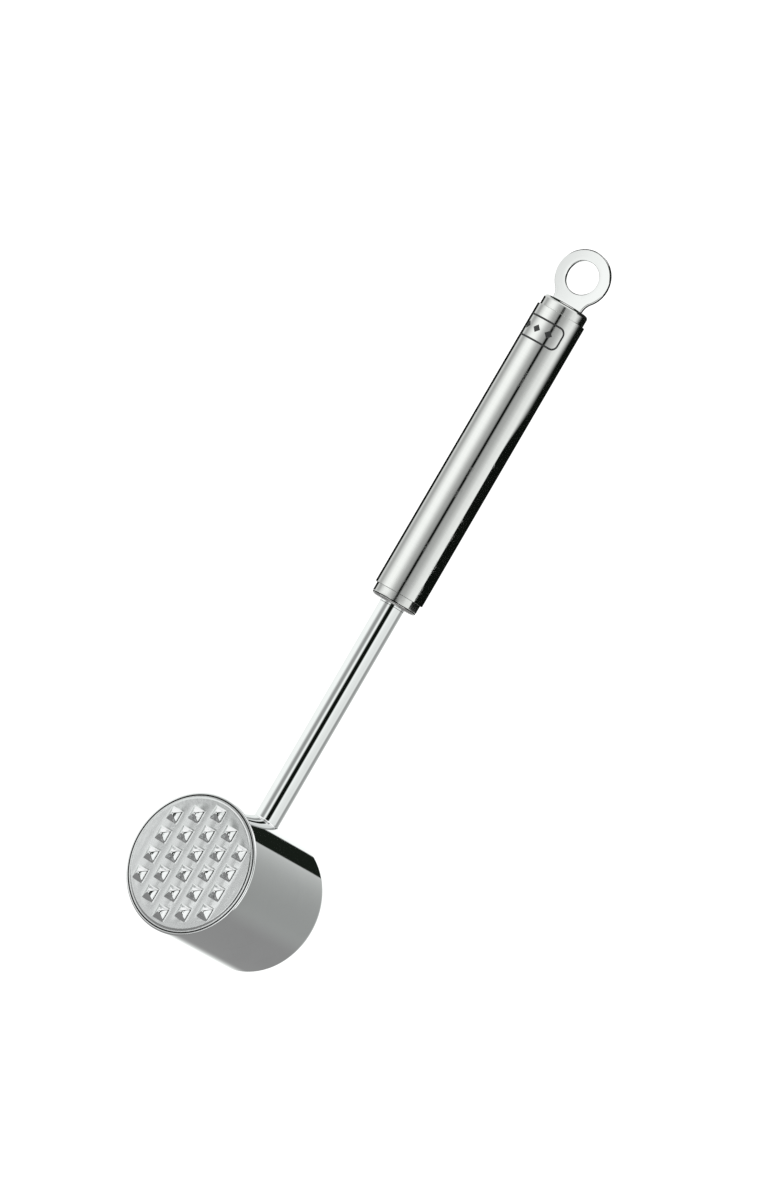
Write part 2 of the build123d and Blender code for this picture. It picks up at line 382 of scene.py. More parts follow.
@made_once
def polished_material(name, colour, roughness, smudge=0.02, scratch=0.01):
    """Mirror-polished steel: hairlines and smudges that only show in its reflections."""
    material, tree, shader, where = blank_material(name)
    smudges, scratches = marked(tree, handling_marks(), where)
    fill(shader, {"Roughness": roughness + (smudges * smudge + scratches * scratch),
                  "Base Color": toned(tree, colour, smudges, 0.975)})
    wave = bumped(tree, shader, noise(tree, where, 55.0, 2.0), 0.01 * MM, 0.5)
    bumped(tree, shader, scratches, -0.0005 * MM, 1.0, wave)
    return material


@made_once
def turned_material(name, colour, roughness, lines, depth, along=None, spread=0.0, tone=0.9):
    """Steel with grooves round its axis: a lathe's on the caps, a fine belt's on the sleeve.
    along turns the part's own axis onto Z."""
    material, tree, shader, where = blank_material(
        name, Anisotropic=spread, **{"Anisotropic Rotation": 0.25})
    if along:
        where = put(tree, "ShaderNodeMapping", {"Vector": where, "Rotation": along}).outputs[0]
    height, groove = marked(tree, turning_lines(), where, Lines_per_Metre=lines)
    smudges, scratches = marked(tree, handling_marks(), where, Smudge_Scale=45.0)
    uneven = (groove - 0.5) * 0.12 + smudges * 0.03
    fill(shader, {"Roughness": uneven.math("ADD", roughness, swap=True, clamp=True),
                  "Base Color": toned(tree, colour, groove, tone)})
    fine = bumped(tree, shader, height, depth)
    bumped(tree, shader, scratches, -0.003 * MM, 1.0, fine)
    return material


@made_once
def coined_material(name, colour):
    """Pressed and tumbled steel: soft dimples and points rubbed bright, with painted shade
    darkening the ground between and round the teeth.
    """
    material, tree, shader, where = blank_material(name)
    lift = Value(put(tree, "ShaderNodeAttribute", attribute_name="lift",
                     attribute_type="GEOMETRY").outputs["Fac"])
    scratches = marked(tree, handling_marks(), where, Scratch_Scale=420.0)[1]
    grain, dents = noise(tree, where, 1400.0, 3.0), noise(tree, where, 330.0, 2.0)
    rubbed, hollow = lift.smooth(0.12, 0.60), lift.smooth(0.25, 0.0)
    # painted shade: the ground between and round the teeth is darkened, mottled by the dents
    shade = hollow * (0.35 + dents * 0.6)
    fill(shader, {"Roughness": 0.17 + grain * 0.10 - rubbed * 0.12,
                  "Base Color": toned(tree, colour, shade, 0.88)})
    soft = bumped(tree, shader, dents * (0.7 + rubbed * 1.6), 0.10 * MM)
    pressed = bumped(tree, shader, grain, 0.005 * MM, 0.8, soft)
    bumped(tree, shader, scratches, -0.004 * MM, 1.0, pressed)
    return material


@made_once
def weld_material(name, colour):
    """Laser weld: rippled and heat-tinted."""
    material, tree, shader, where = blank_material(name, Roughness=0.42)
    height, tint = marked(tree, weld_ripples(), where)
    fill(shader, {"Base Color": toned(tree, colour, tint, 0.55)})
    bumped(tree, shader, height, 0.04 * MM)
    return material


@made_once
def mark_material(name):
    """The dark layer that an electrolytic etch leaves: matt, slightly patchy."""
    material, tree, shader, where = blank_material(name, metallic=0.0)
    patch = noise(tree, where, 2500.0, 3.0)
    fill(shader, {"Roughness": 0.4 + patch * 0.25,
                  "Base Color": toned(tree, (0.020, 0.021, 0.021), patch, 0.5)})
    bumped(tree, shader, patch, 0.003 * MM)
    return material


def glowing_material(name, strength):
    """A material that only glows; returns it with its emission node."""
    material, tree, output = bare_material(name)
    shine = put(tree, "ShaderNodeEmission", {"Strength": strength})
    fill(output, {"Surface": shine.outputs[0]})
    material.cycles.emission_sampling = "NONE"
    return material, shine


# ------------------------------------------------------------------ mesh helpers
def mesh_of(shape, name):
    """Turns a bmesh into a mesh and frees it."""
    mesh = bpy.data.meshes.new(name)
    shape.to_mesh(mesh)
    shape.free()
    return mesh


def placed(name, data):
    """A new object in the scene."""
    thing = bpy.data.objects.new(name, data)
    bpy.context.scene.collection.objects.link(thing)
    return thing


def evaluated(thing):
    """The plain mesh that an object's modifiers make; the object is then thrown away."""
    graph = bpy.context.evaluated_depsgraph_get()
    mesh = bpy.data.meshes.new_from_object(thing.evaluated_get(graph))
    bpy.data.objects.remove(thing)
    return mesh


def keep(mesh, name, material, slot, *nodes):
    """Makes a finished piece of a mesh, in place of its nodes if there are any."""
    piece = placed(name, mesh)
    mesh.materials.clear()
    mesh.materials.append(material)
    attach(piece, "root")
    if nodes:
        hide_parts(*nodes)
    return piece


def weighted(mesh):
    """The mesh with normals that follow its large faces."""
    holder = placed("holder", mesh)
    even = holder.modifiers.new("Even Normals", "WEIGHTED_NORMAL")
    even.mode = "FACE_AREA"
    even.weight = 100
    even.keep_sharp = True
    made = evaluated(holder)
    bpy.data.meshes.remove(mesh)
    return made


def cleaned(shape):
    bmesh.ops.remove_doubles(shape, verts=shape.verts, dist=1e-7)
    bmesh.ops.recalc_face_normals(shape, faces=shape.faces)


def solid(shape, name, sharp=40.0):
    """Closes up a bmesh, turns it outwards, marks its sharp edges and returns a mesh."""
    cleaned(shape)
    for face in shape.faces:
        face.smooth = True
    limit = radians(sharp)
    for edge in shape.edges:
        if len(edge.link_faces) == 2 and edge.calc_face_angle(0.0) > limit:
            edge.smooth = False
    return weighted(mesh_of(shape, name))


def about_z(along, radius, angle):
    return Vector((radius * cos(angle), radius * sin(angle), along))


def about_head(along, radius, angle):
    return Vector((radius * cos(angle), along, HEAD_Z + radius * sin(angle)))


def saddle(drum, x):
    """Height of the drum's top surface at a distance to one side."""
    return HEAD_Z + sqrt(drum ** 2 - x ** 2)


def arc(along, radius, size, start, stop, steps):
    """Points of a quarter or less round (along, radius): 0 degrees looks along the axis."""
    turn = [radians(start + (stop - start) * k / steps) for k in range(steps + 1)]
    return [(along + size * cos(t), radius + size * sin(t)) for t in turn]


def skin(shape, rows, closed=True):
    """Faces between rows of equally many points, which run round or end."""
    for one, two in zip(rows, rows[1:]):
        for k in range(len(one) if closed else len(one) - 1):
            n = (k + 1) % len(one)
            shape.faces.new((one[k], one[n], two[n], two[k]))


def circles(shape, steps, *sizes):
    """Rows of points round Z, one for each (height, radius)."""
    return [[shape.verts.new(about_z(z, radius, tau * k / steps)) for k in range(steps)]
            for z, radius in sizes]


def lathe(shape, profile, place, steps=160, ring=True):
    """Spins a profile of (along, radius) points. A ring's profile closes on itself, any other
    starts and ends on the axis."""
    rows = []
    for along, radius in profile:
        if radius < 1e-9:
            rows.append([shape.verts.new(place(along, 0.0, 0.0))])
        else:
            rows.append([shape.verts.new(place(along, radius, tau * k / steps))
                         for k in range(steps)])
    pairs = list(zip(rows, rows[1:] + rows[:1])) if ring else list(zip(rows, rows[1:]))
    for one, two in pairs:
        for k in range(steps):
            a, b = one[k % len(one)], one[(k + 1) % len(one)]
            c, d = two[(k + 1) % len(two)], two[k % len(two)]
            corners = [v for n, v in enumerate((a, b, c, d)) if v not in (a, b, c, d)[:n]]
            if len(corners) > 2:
                shape.faces.new(corners)


def spin(name, profile, place, material, slot, *nodes, steps=160, ring=True, sharp=40.0):
    """Makes a finished turned piece of its profile."""
    shape = bmesh.new()
    lathe(shape, profile, place, steps, ring)
    return keep(solid(shape, name, sharp), name, material, slot, *nodes)


# ------------------------------------------------------------------ geometry node trees
def run_tree(name, fill_tree, values):
    """Makes a node tree with these inputs, runs it on an empty mesh and returns the plain
    mesh that comes out."""
    tree, given, end = new_group(name, "GeometryNodeTree", values, ["Geometry"],
                                 "NodeSocketGeometry")
    geometry, spot = fill_tree(tree, given)
    moved = put(tree, "GeometryNodeSetPosition", {"Geometry": geometry, "Position": spot})
    real = put(tree, "GeometryNodeRealizeInstances", {"Geometry": moved.outputs[0]})
    done = put(tree, "GeometryNodeSetMaterial",
               {"Geometry": real.outputs[0], "Material": given["Material"]})
    fill(end, {"Geometry": done.outputs[0]})
    holder = placed(name, bpy.data.meshes.new(name))
    modifier = holder.modifiers.new(name, "NODES")
    modifier.node_group = tree
    sockets = {s.name: s.identifier for s in tree.interface.items_tree
               if s.item_type == "SOCKET" and s.in_out == "INPUT"}
    for label, value in values.items():
        modifier[sockets[label]] = value
    mesh = evaluated(holder)
    mesh.name = name
    return mesh


def shown(group):
    """A property group's settings by the names that the panel shows."""
    return {group.bl_rna.properties[key].name: getattr(group, key)
            for key in type(group).__annotations__}


def coined_ground(tree, given):
    """Ground of the toothed face: a fine sheet pressed into staggered blunt pyramids that
    melt into soft swells along their columns. Returns it with the spots of its points."""
    edge, pitch, height = given["Radius"], given["Pitch"], given["Height"]
    half = (edge / given["Cell"]).math("CEIL")
    count, size = half * 2.0 + 1.0, half * 2.0 * given["Cell"]
    sheet = put(tree, "GeometryNodeMeshGrid",
                {"Size X": size, "Size Y": size, "Vertices X": count, "Vertices Y": count})
    x, z = split(tree, put(tree, "GeometryNodeInputPosition").outputs[0])[:2]
    out = (x * x + z * z).math("SQRT")
    outside = put(tree, "FunctionNodeCompare", {0: out, 1: edge},
                  data_type="FLOAT", operation="GREATER_THAN")
    trimmed = put(tree, "GeometryNodeDeleteGeometry",
                  {"Geometry": sheet.outputs["Mesh"], "Selection": outside.outputs[0]},
                  domain="POINT")
    # the tooth nearest to each point: columns along the handle, every other one half a
    # pitch higher
    column = (x / pitch).math("ROUND")
    shift = (1.0 - column.math("ABSOLUTE").math("MODULO", 2.0)) * 0.5
    row = (z / pitch - shift).math("ROUND")
    tooth_x, tooth_z = column * pitch, (row + shift) * pitch
    away = (tooth_x * tooth_x + tooth_z * tooth_z).math("SQRT")
    present = away.math("LESS_THAN", given["Reach"])
    # the pyramid: distance from its middle, measured square
    aside = (x - tooth_x).math("ABSOLUTE").math(
        "SMOOTH_MAX", (z - tooth_z).math("ABSOLUTE"), given["Edge Softness"])
    foot = given["Base"] * 0.5
    steep = height / (foot - given["Tip"] * 0.5)
    blunt = ((foot - aside) * steep).math("SMOOTH_MIN", height, given["Edge Softness"])
    pyramid = blunt.math("SMOOTH_MAX", 0.0, given["Foot Softness"]) * present
    # the swells, which end before the plateau's edge as the teeth's feet do
    wave = (x / pitch * tau).math("COSINE")
    crest = (wave + 1.0) * (given["Swell"] * 0.5)
    inner = out.smooth(edge - 0.0042, edge - 0.0010, 1.0, 0.0)
    rim = out.smooth(edge - 0.0009, edge - 0.0003, 1.0, 0.0)
    lift = pyramid / height
    ground = crest * inner * (1.0 - lift)
    rise = (pyramid + ground) * rim
    stored = put(tree, "GeometryNodeStoreNamedAttribute",
                 {"Geometry": trimmed.outputs[0], "Name": "lift", "Value": lift * rim},
                 data_type="FLOAT", domain="POINT")
    spot = combined(tree, x, given["Level"] - rise, z + given["Head Height"])
    return stored.outputs[0], spot


def joined(tree, *parts):
    """All the geometry together."""
    node = put(tree, "GeometryNodeJoinGeometry")
    for part in parts:
        tree.links.new(part, node.inputs[0])
    return node.outputs[0]


def etched_mark(tree, given):
    """A frame with rounded corners and a row of diamonds in it, wrapped round a tube. Returns
    it with the spots of its points."""
    width, height, relief = given["Width"], given["Height"], given["Relief"]
    line = put(tree, "GeometryNodeCurvePrimitiveQuadrilateral",
               {"Width": width, "Height": height}, mode="RECTANGLE")
    rounded = put(tree, "GeometryNodeFilletCurve",
                  {"Curve": line.outputs[0], "Radius": given["Corner"], "Count": 12},
                  mode="POLY")
    spaced = put(tree, "GeometryNodeResampleCurve",
                 {"Curve": rounded.outputs[0], "Length": 0.0003}, mode="LENGTH")
    section = put(tree, "GeometryNodeCurvePrimitiveQuadrilateral",
                  {"Width": given["Line"], "Height": relief}, mode="RECTANGLE")
    ribbon = put(tree, "GeometryNodeCurveToMesh",
                 {"Curve": spaced.outputs[0], "Profile Curve": section.outputs[0]})
    step = width / (given["Diamonds"] + 1.0)
    row = put(tree, "GeometryNodeMeshLine",
              {"Count": given["Diamonds"], "Offset": combined(tree, step),
               "Start Location": combined(tree, step - width * 0.5)})
    # one diamond: a plate one unit thick, closed and stood on its corner
    plate = put(tree, "GeometryNodeMeshGrid",
                {"Size X": 1.0, "Size Y": 1.0, "Vertices X": 5, "Vertices Y": 5})
    thick = put(tree, "GeometryNodeExtrudeMesh",
                {"Mesh": plate.outputs["Mesh"], "Offset Scale": 1.0, "Individual": False,
                 "Offset": (0.0, 0.0, 1.0)})
    under = put(tree, "GeometryNodeFlipFaces", {"Mesh": plate.outputs["Mesh"]})
    closed = put(tree, "GeometryNodeMergeByDistance",
                 {"Geometry": joined(tree, thick.outputs["Mesh"], under.outputs["Mesh"]),
                  "Distance": 0.001})
    stood = put(tree, "GeometryNodeTransform",
                {"Geometry": closed.outputs[0], "Translation": (0.0, 0.0, -0.5),
                 "Rotation": (0.0, 0.0, radians(45.0))})
    side = height * 0.26
    diamonds = put(tree, "GeometryNodeInstanceOnPoints",
                   {"Points": row.outputs[0], "Instance": stood.outputs[0],
                    "Scale": combined(tree, side, side, relief)})
    real = put(tree, "GeometryNodeRealizeInstances",
               {"Geometry": joined(tree, ribbon.outputs[0], diamonds.outputs[0])})
    # wrap: along the frame becomes an angle, its thickness stands out from the tube
    x, y, z = split(tree, put(tree, "GeometryNodeInputPosition").outputs[0])
    angle = given["Facing"] + x / given["Tube Radius"]
    radius = given["Tube Radius"] + z
    spot = combined(tree, radius * angle.math("COSINE"), radius * angle.math("SINE"),
                    given["Middle"] + y)
    return real.outputs[0], spot


# ------------------------------------------------------------------ operators: the head
class MALLET_OT_head_shell(Operator):
    """Drawn and mirror-polished cup: side wall, rounded far edge and smooth face"""
    bl_idname = "mallet.head_shell"
    bl_label = "Head Shell"

    def execute(self, context):
        head, colours = context.scene.mallet_head, context.scene.mallet_finish
        rim, far, outer = SHELL_LOW.y, SHELL_HIGH.y, head.radius
        inner, bend, lip = outer - head.wall, head.far_round, head.lip_round
        profile = [(far, 0.0), (far, outer * 0.3), (far, outer * 0.6)]
        profile += arc(far - bend, outer - bend, bend, 0, 90, 12)
        profile += [(far - bend - (far - rim) * k / 8, outer) for k in range(1, 8)]
        profile += arc(rim + lip, outer - lip, lip, 90, 180, 8)
        profile += [(rim, inner), (rim + 2 * MM, inner)]
        profile += arc(far - bend, outer - bend, bend - head.wall, 90, 0, 6)
        profile += [(far - head.wall, 0.0)]
        material = polished_material("Mirror steel", colours.mirror, MIRROR_ROUGHNESS)
        spin("HeadShell", profile, about_head, material, "mirror_steel", "head_shell",
             steps=192, ring=False)
        return {"FINISHED"}


class MALLET_OT_toothed_face(Operator):
    """Coined disc in the cup's mouth, with its staggered blunt pyramids"""
    bl_idname = "mallet.toothed_face"
    bl_label = "Toothed Face"

    def execute(self, context):
        scene = context.scene
        head, teeth, colours = scene.mallet_head, scene.mallet_teeth, scene.mallet_finish
        material = coined_material("Coined steel", colours.coined)
        rim = SHELL_LOW.y
        level = rim - head.plateau_rise
        sheet = run_tree("Coined Ground", coined_ground, {
            **shown(teeth), "Radius": head.plateau - 0.1 * MM, "Level": level,
            "Head Height": HEAD_Z, "Material": material})
        shape = bmesh.new()
        shape.from_mesh(sheet)
        bpy.data.meshes.remove(sheet)
        for loose, kind in ((shape.edges, "EDGES"), (shape.verts, "VERTS")):
            bmesh.ops.delete(shape, geom=[part for part in loose if not part.link_faces],
                             context=kind)
        ragged = [e for e in shape.edges if len(e.link_faces) == 1]
        # soft step, flat band, chamfer, and the disc's wall and back
        cup, step, bevel = head.radius - head.wall, head.plateau_step, 0.3 * MM
        profile = [(level, head.plateau)]
        for k in range(1, 9):
            fall = (1 - cos(pi * k / 8)) / 2
            profile.append((level + head.plateau_rise * fall, head.plateau + step * k / 8))
        profile += [(rim, cup - head.disc_chamfer), (rim + head.disc_chamfer, cup),
                    (FACE_HIGH.y - bevel, cup), (FACE_HIGH.y, cup - bevel),
                    (FACE_HIGH.y, 0.0)]
        before = set(shape.edges)
        lathe(shape, profile, about_head, 240, ring=False)
        circle = [e for e in shape.edges if e not in before and len(e.link_faces) == 1]
        bmesh.ops.triangle_fill(shape, use_beauty=True, use_dissolve=False,
                                edges=ragged + circle)
        mesh = solid(shape, "ToothedFace")
        keep(mesh, "ToothedFace", material, "coined_steel", "toothed_face")
        return {"FINISHED"}


class MALLET_OT_seams(Operator):
    """Fine laser-weld rings: round the toothed disc and at both ends of the sleeve"""
    bl_idname = "mallet.seams"
    bl_label = "Seam Rings"

    def execute(self, context):
        scene = context.scene
        head, grip, colours = scene.mallet_head, scene.mallet_grip, scene.mallet_finish
        cup, rim, chamfer = head.radius - head.wall, SHELL_LOW.y, head.disc_chamfer
        # the weld ring of the face stands just proud of the rim; its near-black colour is painted
        # shade of the groove between lip and disc
        proud, groove_shade_share = 0.02 * MM, 0.10
        bead = [(rim + chamfer, cup), (rim - proud, cup), (rim - proud * 2, cup - chamfer * 0.5),
                (rim - proud, cup - chamfer * 1.1)]
        # painted shade: the weld colour is cut to a tenth to draw the dark groove round the disc
        groove_shaded_weld = weld_material("Burnt weld", [c * groove_shade_share for c in colours.weld])
        spin("FaceSeam", bead, about_head, groove_shaded_weld, "weld_steel", "face_seam_weld",
             steps=192, sharp=60)
        material = weld_material("Weld steel", colours.weld)
        inner, width, rise = SLEEVE_HIGH.x - grip.wall, grip.seam, 0.03 * MM
        for name, node, end, way in (("LowerSeam", "lower_seam_weld", SLEEVE_LOW.z, 1),
                                     ("UpperSeam", "upper_seam_weld", SLEEVE_HIGH.z, -1)):
            bead = [(end + way * width, inner), (end, inner),
                    (end - way * rise, inner + width * 0.35),
                    (end - way * rise, inner + width * 0.65), (end, inner + width)]
            spin(name, bead, about_z, material, "weld_steel", node, sharp=60)
        return {"FINISHED"}


# ------------------------------------------------------------------ operators: the stem
class MALLET_OT_stem(Operator):
    """Polished rod coped onto the head, with its turned-down end"""
    bl_idname = "mallet.stem"
    bl_label = "Stem"

    def execute(self, context):
        scene = context.scene
        head, grip, colours = scene.mallet_head, scene.mallet_grip, scene.mallet_finish
        rod, spigot, drum = grip.stem_radius, grip.spigot_radius, head.radius
        steps, top, bottom, bevel = 128, STEM_HIGH.z, STEM_LOW.z, 0.3 * MM
        foot = HEAD_Z + drum + 4 * MM
        rows = [[(0.0, top)] * steps, [(rod - bevel, top)] * steps]
        rows += [[(rod, top - bevel + (foot - top + bevel) * k / 10)] * steps
                 for k in range(11)]
        rows += [[(radius, saddle(drum, radius * cos(tau * k / steps))) for k in range(steps)]
                 for radius in (rod, spigot)]
        rows += [[(spigot, bottom + bevel)] * steps, [(spigot - bevel, bottom)] * steps,
                 [(0.0, bottom)] * steps]
        shape = bmesh.new()
        skin(shape, [[shape.verts.new(about_z(z, r, tau * k / steps))
                      for k, (r, z) in enumerate(row)] for row in rows])
        material = polished_material("Mirror steel", colours.mirror, MIRROR_ROUGHNESS)
        keep(solid(shape, "Stem"), "Stem", material, "mirror_steel", "stem")
        return {"FINISHED"}


class MALLET_OT_stem_weld(Operator):
    """Polished weld fillet that runs round the foot of the stem"""
    bl_idname = "mallet.stem_weld"
    bl_label = "Stem Weld"

    def execute(self, context):
        scene = context.scene
        head, grip, colours = scene.mallet_head, scene.mallet_grip, scene.mallet_finish
        rod, ball, drum = grip.stem_radius, head.weld_round, head.radius
        steps, parts = 128, 14
        points, normals, quads = [], [], []
        for k in range(steps):
            turn = tau * k / steps
            # a ball that touches stem and drum rolls round the stem
            centre = about_z(0.0, rod + ball, turn)
            centre.z = saddle(drum + ball, centre.x)
            to_stem = Vector((-cos(turn), -sin(turn), 0.0))
            to_drum = Vector((-centre.x, 0.0, HEAD_Z - centre.z)).normalized()
            sweep = to_stem.angle(to_drum)
            for part in range(parts + 1):
                share = part / parts
                way = (to_stem * sin(sweep * (1 - share))
                       + to_drum * sin(sweep * share)) / sin(sweep)
                points.append(centre + way * ball)
                normals.append(-way)
            corner = about_z(0.0, rod, turn)
            corner.z = saddle(drum, corner.x)
            points.append(corner)
            normals.append(Vector((0, 0, 1)))
        row = parts + 2
        for k in range(steps):
            one, two = k * row, (k + 1) % steps * row
            for part in range(row):
                follow = (part + 1) % row
                quads.append((one + part, one + follow, two + follow, two + part))
        mesh = bpy.data.meshes.new("StemWeld")
        mesh.from_pydata(points, [], quads)
        mesh.update()
        if mesh.polygons[parts // 2].normal.dot(normals[parts // 2]) < 0:
            mesh.flip_normals()
        corners = []
        for number, face in enumerate(mesh.polygons):
            face.use_smooth = True
            shown = number % row < parts
            corners += [normals[v] if shown else face.normal.copy() for v in face.vertices]
        mesh.normals_split_custom_set(corners)
        material = polished_material("Mirror steel", colours.mirror, MIRROR_ROUGHNESS)
        keep(mesh, "StemWeld", material, "mirror_steel", "stem_weld")
        return {"FINISHED"}


# ------------------------------------------------------------------ operators: the grip
class MALLET_OT_sleeve(Operator):
    """Brushed tube that is held, softly broken at its ends"""
    bl_idname = "mallet.sleeve"
    bl_label = "Grip Sleeve"

    def execute(self, context):
        grip, colours = context.scene.mallet_grip, context.scene.mallet_finish
        low, high, outer = SLEEVE_LOW.z, SLEEVE_HIGH.z, SLEEVE_HIGH.x
        inner, soft, seam = outer - grip.wall, grip.end_round, grip.seam
        profile = [(high - seam, inner), (high, inner + seam)]
        profile += arc(high - soft, outer - soft, soft, 0, 90, 4)
        profile += [(high + (low - high) * k / 12, outer) for k in range(1, 12)]
        profile += arc(low + soft, outer - soft, soft, 90, 180, 4)
        profile += [(low, inner + seam), (low + seam, inner)]
        material = turned_material("Brushed steel", colours.brushed, 0.065, 9000.0, 0.0015 * MM,
                                   spread=0.55)
        spin("GripSleeve", profile, about_z, material, "brushed_steel", "handle_sleeve")
        return {"FINISHED"}


class MALLET_OT_caps(Operator):
    """Turned caps that plug the sleeve: the lower one bored for the stem, the upper one
    carrying the eye"""
    bl_idname = "mallet.caps"
    bl_label = "End Caps"

    def execute(self, context):
        grip, colours = context.scene.mallet_grip, context.scene.mallet_finish
        material = turned_material("Turned steel", colours.turned, 0.12, 2600.0, 0.004 * MM,
                                   spread=0.5, tone=0.82)
        outer, bend, rod = SLEEVE_HIGH.x - grip.wall, grip.cap_round, grip.stem_radius
        bore, mouth, bevel = rod + 1.6 * MM, 0.15 * MM, 0.2 * MM
        for name, node, end, inside in (("LowerCap", "lower_cap", LOWER_LOW.z, LOWER_HIGH.z),
                                        ("UpperCap", "upper_cap", UPPER_HIGH.z, UPPER_LOW.z)):
            bored = node == "lower_cap"
            way = 1 if inside > end else -1
            floor = end + way * grip.cap_end
            profile = [(end + way * mouth, rod), (end, rod + mouth)] if bored else \
                [(end, 0.0), (end, outer * 0.4)]
            profile += [(end + way * (bend - bend * cos(radians(t))),
                         outer - bend + bend * sin(radians(t))) for t in range(0, 91, 9)]
            profile += [(end + (inside - end) * share, outer) for share in (0.3, 0.45, 0.7)]
            profile += [(inside - way * bevel, outer), (inside, outer - bevel), (inside, bore),
                        (floor, bore), (floor, rod if bored else 0.0)]
            spin(name, profile, about_z, material, "turned_steel", node, ring=bored)
        return {"FINISHED"}


class MALLET_OT_mark(Operator):
    """Plain etched ornament near the top of the sleeve: a frame with a row of diamonds"""
    bl_idname = "mallet.mark"
    bl_label = "Etched Mark"

    def execute(self, context):
        mark = context.scene.mallet_mark
        material = mark_material("Etched mark")
        values = shown(mark)
        level = SLEEVE_HIGH.z - values.pop("Drop")
        mesh = run_tree("EtchedMark", etched_mark, {
            **values, "Middle": level, "Tube Radius": SLEEVE_HIGH.x, "Material": material})
        shape = bmesh.new()
        shape.from_mesh(mesh)
        cleaned(shape)
        shape.to_mesh(mesh)
        shape.free()
        keep(mesh, "EtchedMark", material, "brushed_steel")
        return {"FINISHED"}


# ------------------------------------------------------------------ operators: the eye
class MALLET_OT_eye(Operator):
    """Flat polished eye on its hollow-sided neck, with the tongue that holds it"""
    bl_idname = "mallet.eye"
    bl_label = "Hanging Eye"

    def outline(self, eye):
        """Right half of the eye's outline, from its top round to the middle of its foot:
        points with the direction out of the plate."""
        ring, half, hollow, foot = EYE_HIGH.z, eye.neck / 2, eye.hollow, UPPER_HIGH.z
        side = half + hollow
        drop = -sqrt((ring + hollow) ** 2 - side ** 2)
        leave, quarter = atan2(drop, side), radians(90)
        points = []
        for k in range(57):
            turn = quarter + (leave - quarter) * k / 56
            out = Vector((cos(turn), sin(turn)))
            points.append((out * ring, out))
        start = leave + pi
        for k in range(1, 13):
            turn = start + (pi - start) * k / 12
            out = Vector((cos(turn), sin(turn)))
            points.append((Vector((side, drop)) + out * hollow, -out))
        points.append((Vector((half, foot)), Vector((1.0, 0.0))))
        for k in range(1, 8):
            points.append((Vector((half * (1 - k / 7) * 0.93, foot)), Vector((0.0, 0.0))))
        return points

    def execute(self, context):
        eye, colours = context.scene.mallet_eye, context.scene.mallet_finish
        right = self.outline(eye)
        left = [(Vector((-p.x, p.y)), Vector((-n.x, n.y))) for p, n in right[1:-1]]
        half, soft = eye.thickness / 2, eye.edge_round
        turn = Matrix.Rotation(eye.turn, 4, "Z")

        def spot(flat, depth):
            return turn @ Vector((flat.x, depth, flat.y))

        def rounded(edge, out, angle):
            """A point of the front's rounded edge, which faces out."""
            return edge - out * soft * (1 - cos(angle)), -(half - soft + soft * sin(angle))

        rounds = [radians(90 * k / 5) for k in range(6)]
        shape = bmesh.new()
        grid = []
        # round the plate's section: hole wall, front, outer edge, back
        for point, out in right + left[::-1]:
            aim = point.normalized()
            hole = aim * eye.hole
            row = [rounded(hole, -aim, t) for t in rounds]
            row += [((hole + aim * soft).lerp(point - out * soft, share), -half)
                    for share in (0.33, 0.67)]
            row += [rounded(point, out, t) for t in rounds[::-1]]
            row += [(flat, -depth) for flat, depth in row[::-1]]
            grid.append([shape.verts.new(spot(flat, depth)) for flat, depth in row])
        skin(shape, grid + grid[:1])
        # the tongue goes down from inside the neck
        wide, thick, top = eye.tongue / 2, half * 0.99, UPPER_HIGH.z + 1.0 * MM
        box = [[shape.verts.new(spot(Vector((x, z)), y))
                for x, y in ((-wide, -thick), (wide, -thick), (wide, thick), (-wide, thick))]
               for z in (top, EYE_LOW.z)]
        shape.faces.new(box[0])
        shape.faces.new(box[1])
        skin(shape, box)
        material = polished_material("Polished steel", colours.polished, 0.05, smudge=0.05)
        keep(solid(shape, "HangingEye", 50), "HangingEye", material, "polished_steel",
             "hanging_eye")
        return {"FINISHED"}


class MALLET_OT_inner_parts(Operator):
    """Finishes of the pieces inside head and grip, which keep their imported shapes"""
    bl_idname = "mallet.inner_parts"
    bl_label = "Inner Parts"

    def execute(self, context):
        colours = context.scene.mallet_finish
        raw = turned_material("Raw steel", colours.raw, 0.30, 1500.0, 0.01 * MM,
                              along=(radians(90), 0.0, 0.0), tone=0.8)
        weld = weld_material("Weld steel", colours.weld)
        for node, material in (("head_core", raw), ("backing_plate", raw),
                               ("stem_inner_weld", weld), ("eye_tang_welds", weld)):
            for slot in frame["nodes"][node].material_slots:
                slot.material = material
        return {"FINISHED"}


# ------------------------------------------------------------------ operator: the stage
def level_of(tone):
    """Linear brightness of a tone from 0, black, to 255, white."""
    share = tone / 255.0
    return share / 12.92 if share <= 0.04045 else ((share + 0.055) / 1.055) ** 2.4


def tinted(tone):
    """That tone as a colour: studio cloth and black flags lean a little to green."""
    level = level_of(tone)
    lean = 1.012 if tone > 60 else 1.35
    return (level * 0.985, level * lean, level * 0.995, 1.0)


def bearing(degrees):
    """Share of a turn of a direction, in degrees from straight towards the camera."""
    return 0.5 + degrees / 360


def tone_ramp(tree, share, stops):
    """A ramp over a whole turn. The stops are (degrees from towards the camera, tone)."""
    node = put(tree, "ShaderNodeValToRGB", {"Fac": share})
    ramp = node.color_ramp
    ramp.interpolation = "LINEAR"
    while len(ramp.elements) > 1:
        ramp.elements.remove(ramp.elements[-1])
    ramp.elements[0].position = bearing(stops[0][0])
    for stop in stops[1:]:
        ramp.elements.new(bearing(stop[0]))
    for element, stop in zip(ramp.elements, stops):
        element.color = tinted(stop[1])
    return node.outputs["Color"]


WHITE = (1.0, 1.0, 1.0, 1.0)
